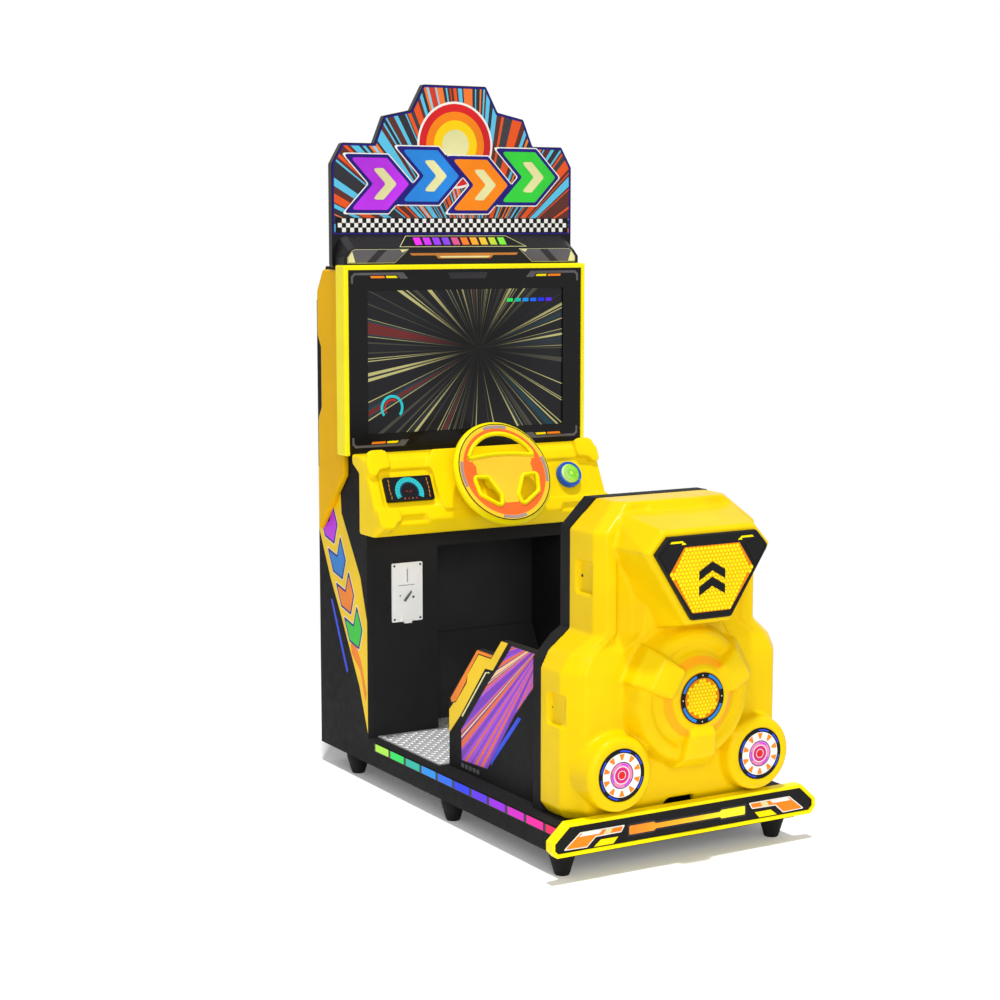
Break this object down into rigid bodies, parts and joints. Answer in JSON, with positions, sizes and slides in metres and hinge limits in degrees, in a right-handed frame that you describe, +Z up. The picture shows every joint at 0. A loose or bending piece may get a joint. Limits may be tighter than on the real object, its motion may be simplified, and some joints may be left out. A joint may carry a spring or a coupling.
{
  "type": "sit-down racing arcade cabinet",
  "caption": "Child-size sit-down racing arcade cabinet: screen tower with dashboard and steering wheel, footwell, deck on feet, and a seat with a moulded yellow pod behind its back.",
  "frame": {"origin": "on the floor, below the middle of the whole cabinet", "axes": "+X across, to the right as seen from behind the seat; +Y from the seat to the tower; +Z up"},
  "size_m": [0.727, 1.32, 1.793],
  "materials": {
    "black_panel": "black laminate on board, satin",
    "black_plastic": "matt black moulding",
    "black_gloss": "glossy black sheet and glass",
    "foot_rubber": "black rubber",
    "led_cover": "lit diffuser strip",
    "tread_aluminium": "bright tread plate",
    "yellow_plastic": "rotationally moulded, glossy yellow",
    "steel": "plated or painted steel",
    "white_paint": "white enamel",
    "blue_plastic": "blue ring",
    "lime_plastic": "lit lime lens",
    "orange_plastic": "orange face film",
    "black_leatherette": "black leatherette",
    "amber_print": "printed honeycomb film",
    "disc_print": "printed ring film"
  },
  "bodies": {
    "cabinet": {"base_platform": "black_panel", "foot_front_left": "foot_rubber", "foot_front_right": "foot_rubber", "foot_middle_left": "foot_rubber", "foot_middle_right": "foot_rubber", "foot_rear_left": "foot_rubber", "foot_rear_right": "foot_rubber", "led_strip_left": "led_cover", "led_strip_right": "led_cover", "tread_plate": "tread_aluminium", "toe_board": "tread_aluminium", "front_bumper": "yellow_plastic", "tower_side_left": "black_panel", "tower_side_right": "black_panel", "side_cover_left": "yellow_plastic", "side_cover_right": "yellow_plastic", "front_panel": "black_panel", "footwell_liner": "black_panel", "top_panel": "black_panel", "rear_panel": "black_panel", "power_inlet": "black_plastic", "coin_plate": "white_paint", "coin_acceptor": "black_plastic", "coin_box": "steel", "bezel_rim": "yellow_plastic", "bezel_mask": "black_gloss", "monitor": "black_gloss", "monitor_bracket": "steel", "game_computer": "steel", "marquee_board": "black_gloss", "marquee_valance": "black_gloss", "marquee_bracket": "steel", "dash_shell": "yellow_plastic", "gauge_display": "black_gloss", "start_button_ring": "blue_plastic", "column_bracket": "steel", "bearing_housing": "steel", "encoder_sensor": "black_plastic", "pedal_bracket": "steel", "seat_side_left": "black_panel", "seat_side_right": "black_panel", "seat_riser": "black_panel", "seat_pan": "black_panel", "seat_cushion": "black_leatherette", "back_cushion": "black_leatherette", "seat_back_board": "black_panel", "seat_pod": "yellow_plastic", "badge_plate": "black_gloss", "hub_emblem": "amber_print", "disc_left": "disc_print", "disc_right": "disc_print"},
    "wheel": {"steering_wheel": "yellow_plastic", "wheel_face": "orange_plastic", "steering_shaft": "steel", "encoder_disc": "black_plastic"},
    "start_cap": {"start_button_cap": "lime_plastic"},
    "pedal": {"accelerator_pedal": "tread_aluminium"},
    "coin_lever": {"coin_return_lever": "steel"},
    "door": {"rear_door": "black_panel"},
    "lock": {"door_lock": "steel"}
  },
  "joints": [
    {"name": "steering_turn", "type": "hinge", "parent": "cabinet", "child": "wheel", "pos_m": [0, 0.2445, 0.804], "axis": [0, -0.8942, 0.4478], "range_deg": [-135, 135]},
    {"name": "start_press", "type": "slide", "parent": "cabinet", "child": "start_cap", "axis": [0, 0.8942, -0.4478], "range_m": [0, 0.004], "stiffness_N_per_m": 600, "springref_m": -0.002},
    {"name": "pedal_press", "type": "hinge", "parent": "cabinet", "child": "pedal", "pos_m": [0.1275, 0.432, 0.1415], "axis": [-1, 0, 0], "range_deg": [0, 18], "stiffness_Nm_per_rad": 3, "springref_deg": -11.46},
    {"name": "coin_return", "type": "hinge", "parent": "cabinet", "child": "coin_lever", "pos_m": [-0.214, 0.3742, 0.476], "axis": [0, 1, 0], "range_deg": [0, 20], "stiffness_Nm_per_rad": 0.05, "springref_deg": -5.73},
    {"name": "door_swing", "type": "hinge", "parent": "cabinet", "child": "door", "pos_m": [-0.219, 0.6561, 0.68], "axis": [0, 0, 1], "range_deg": [0, 110]},
    {"name": "lock_turn", "type": "hinge", "parent": "door", "child": "lock", "pos_m": [0.19, 0.6575, 0.68], "axis": [0, 1, 0], "range_deg": [0, 90]}
  ]
}
